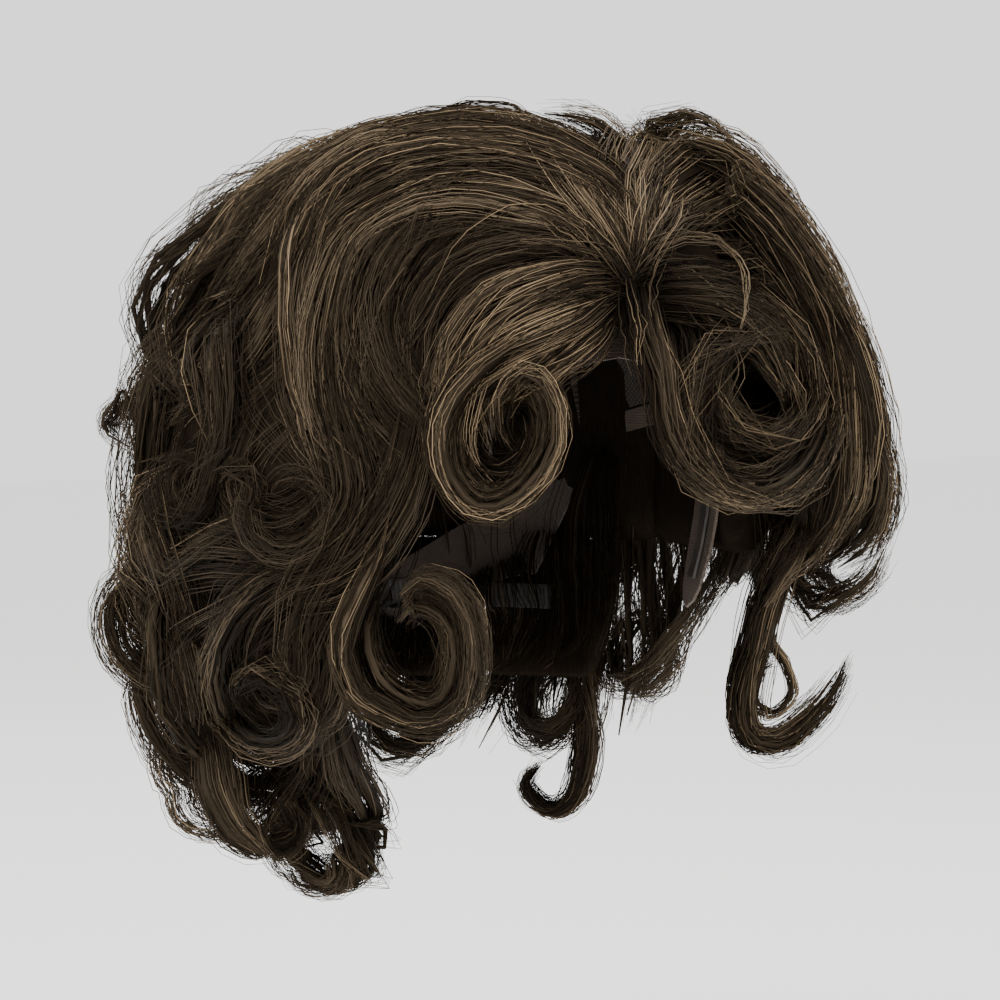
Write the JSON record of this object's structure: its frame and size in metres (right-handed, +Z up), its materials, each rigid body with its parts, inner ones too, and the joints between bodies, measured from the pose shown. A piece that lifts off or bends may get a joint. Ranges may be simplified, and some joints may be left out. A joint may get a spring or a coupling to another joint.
{
  "type": "costume wig",
  "caption": "Short curly dark brown wig: a sewn cap with ear tabs, wefts and nape adjusters, carrying swept crown hair, front rolls, a cheek ringlet and nape curls.",
  "frame": {"origin": "centre of the wearer's head in the girth plane of the cap, about 29 mm above the eye line", "axes": "+Z up, -Y the way the wearer faces, +X to the wearer's left"},
  "size_m": [0.2416, 0.262, 0.2711],
  "materials": {
    "hair": "fine synthetic fibre, dark ash brown, soft satin sheen along the strands",
    "cap_net": "open stretch mesh, matt",
    "cap_binding": "soft stretch lace edging, matt",
    "nape_velvet": "short pile velvet, matt",
    "scalp_patch": "skin-coloured fine mesh, matt",
    "cap_ribbon": "woven ribbon, slight sheen",
    "weft_thread": "triple stitched weft seam",
    "stay_plastic": "bendable stay, satin",
    "hook_enamel": "small enamelled hook, semi gloss",
    "adjuster_elastic": "ribbed elastic tape",
    "label_satin": "blank satin tape"
  },
  "bodies": {
    "wig": {"adjuster_ladder_left": "adjuster_elastic", "adjuster_ladder_right": "adjuster_elastic", "adjuster_strap_left": "adjuster_elastic", "adjuster_strap_right": "adjuster_elastic", "centre_ribbon": "cap_ribbon", "crown_hair_left": "hair", "crown_hair_right": "hair", "crown_net_left": "cap_net", "crown_net_right": "cap_net", "ear_binding_left": "cap_binding", "ear_binding_right": "cap_binding", "front_band": "cap_binding", "front_roll_left": "hair", "front_roll_right": "hair", "lower_lock_back_left": "hair", "lower_lock_back_right": "hair", "lower_lock_left": "hair", "lower_lock_nape": "hair", "lower_lock_right": "hair", "nape_band": "nape_velvet", "parting_patch": "scalp_patch", "side_lock_back": "hair", "side_lock_back_left": "hair", "side_lock_back_right": "hair", "side_lock_left": "hair", "side_lock_right": "hair", "side_ribbon_left": "cap_ribbon", "side_ribbon_right": "cap_ribbon", "upper_lock_back": "hair", "upper_lock_back_left": "hair", "upper_lock_back_right": "hair", "upper_lock_front_left": "hair", "upper_lock_front_right": "hair", "upper_lock_side_left": "hair", "upper_lock_side_right": "hair", "upper_lock_temple_right": "hair", "weft_row_1": "weft_thread", "weft_row_2": "weft_thread", "weft_row_3": "weft_thread", "weft_row_4": "weft_thread", "weft_row_5": "weft_thread", "weft_row_6": "weft_thread"},
    "ear_tab_left": {"ear_tab_left": "cap_binding", "ear_stay_left": "stay_plastic"},
    "ear_tab_right": {"ear_tab_right": "cap_binding", "ear_stay_right": "stay_plastic"},
    "adjuster_hook_left": {"adjuster_hook_left": "hook_enamel"},
    "adjuster_hook_right": {"adjuster_hook_right": "hook_enamel"},
    "care_label": {"care_label": "label_satin"},
    "cheek_ringlet_right": {"cheek_ringlet_right": "hair"},
    "hook_lock_left": {"hook_lock_left": "hair"},
    "nape_curl_left": {"nape_curl_left": "hair"},
    "nape_curl_centre": {"nape_curl_centre": "hair"},
    "nape_curl_right": {"nape_curl_right": "hair"}
  },
  "joints": [
    {"name": "ear_tab_left_fold", "type": "hinge", "parent": "wig", "child": "ear_tab_left", "pos_m": [0.06947, -0.03729, -0.00703], "axis": [0.3907, 0.9205, 0], "range_deg": [0, 65]},
    {"name": "ear_tab_right_fold", "type": "hinge", "parent": "wig", "child": "ear_tab_right", "pos_m": [-0.06947, -0.03729, -0.00703], "axis": [0.3907, -0.9205, 0], "range_deg": [0, 65]},
    {"name": "adjuster_left_slide", "type": "hinge", "parent": "wig", "child": "adjuster_hook_left", "pos_m": [-0.00175, 0.02572, -0.0553], "axis": [0, 0, 1], "range_deg": [0, 21.64]},
    {"name": "adjuster_right_slide", "type": "hinge", "parent": "wig", "child": "adjuster_hook_right", "pos_m": [0.00175, 0.02572, -0.0553], "axis": [0, 0, -1], "range_deg": [0, 21.64]},
    {"name": "care_label_flap", "type": "hinge", "parent": "wig", "child": "care_label", "pos_m": [0, 0.09454, -0.00205], "axis": [-1, 0, 0], "range_deg": [0, 80]},
    {"name": "cheek_ringlet_swing", "type": "hinge", "parent": "wig", "child": "cheek_ringlet_right", "pos_m": [-0.07442, -0.06742, -0.0523], "axis": [-0.6714, 0.7411, 0], "range_deg": [-4, 22]},
    {"name": "hook_lock_swing", "type": "hinge", "parent": "wig", "child": "hook_lock_left", "pos_m": [0.06407, -0.07398, -0.03003], "axis": [-0.5, -0.866, 0], "range_deg": [-5, 18]},
    {"name": "nape_curl_left_swing", "type": "hinge", "parent": "wig", "child": "nape_curl_left", "pos_m": [0.05995, 0.04603, -0.11999], "axis": [0.609, -0.7932, 0], "range_deg": [-5, 25]},
    {"name": "nape_curl_centre_swing", "type": "hinge", "parent": "wig", "child": "nape_curl_centre", "pos_m": [-0.01207, 0.09201, -0.12204], "axis": [0.9915, 0.1301, 0], "range_deg": [-5, 25]},
    {"name": "nape_curl_right_swing", "type": "hinge", "parent": "wig", "child": "nape_curl_right", "pos_m": [-0.06792, 0.03801, -0.12009], "axis": [0.4884, 0.8726, 0], "range_deg": [-5, 25]}
  ]
}
